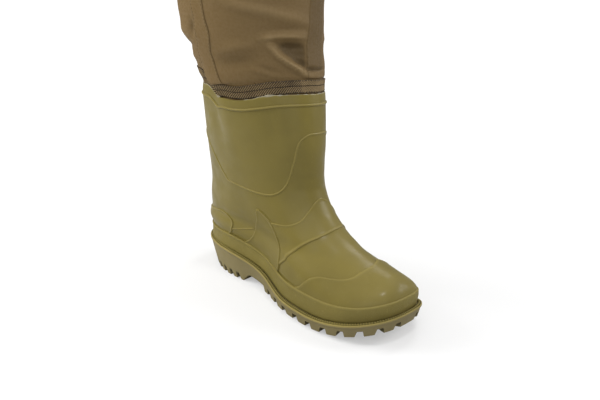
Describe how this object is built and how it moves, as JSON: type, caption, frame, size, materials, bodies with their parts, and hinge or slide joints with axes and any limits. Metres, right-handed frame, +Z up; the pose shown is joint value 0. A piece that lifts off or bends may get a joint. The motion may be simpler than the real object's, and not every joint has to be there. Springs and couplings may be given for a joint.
{
  "type": "wader boot",
  "caption": "Right wader boot: hollow moulded olive boot on a lugged sole, with raised plates and ribs, joined by a tape to the lower end of a loose fabric leg.",
  "frame": {"origin": "under the middle of the whole object's box, on the plane the sole stands on", "axes": "+X towards the toe, +Y towards the inner side of this right boot, +Z up"},
  "size_m": [0.341, 0.142, 0.372],
  "materials": {
    "sole_rubber": "matte moulded sole rubber, grey brown",
    "insole_felt": "dark felt",
    "boot_rubber": "satin olive moulded boot rubber",
    "rand_rubber": "matte grained olive band",
    "plate_rubber": "satin olive raised plates",
    "rib_rubber": "lighter olive raised ribs",
    "leg_fabric": "coated woven fabric, brown olive, matte",
    "tape_fabric": "dark twill seam tape"
  },
  "bodies": {
    "root": {"outsole": "sole_rubber", "insole": "insole_felt", "upper": "boot_rubber", "rand": "rand_rubber", "toe_cap": "plate_rubber", "instep_strap": "plate_rubber", "heel_counter": "plate_rubber", "fin_lateral": "plate_rubber", "fin_medial": "plate_rubber", "side_rib_lateral": "rib_rubber", "side_rib_medial": "rib_rubber", "shaft_rib": "rib_rubber", "collar_bead": "rib_rubber", "leg": "leg_fabric", "seam_tape": "tape_fabric"}
  },
  "joints": []
}
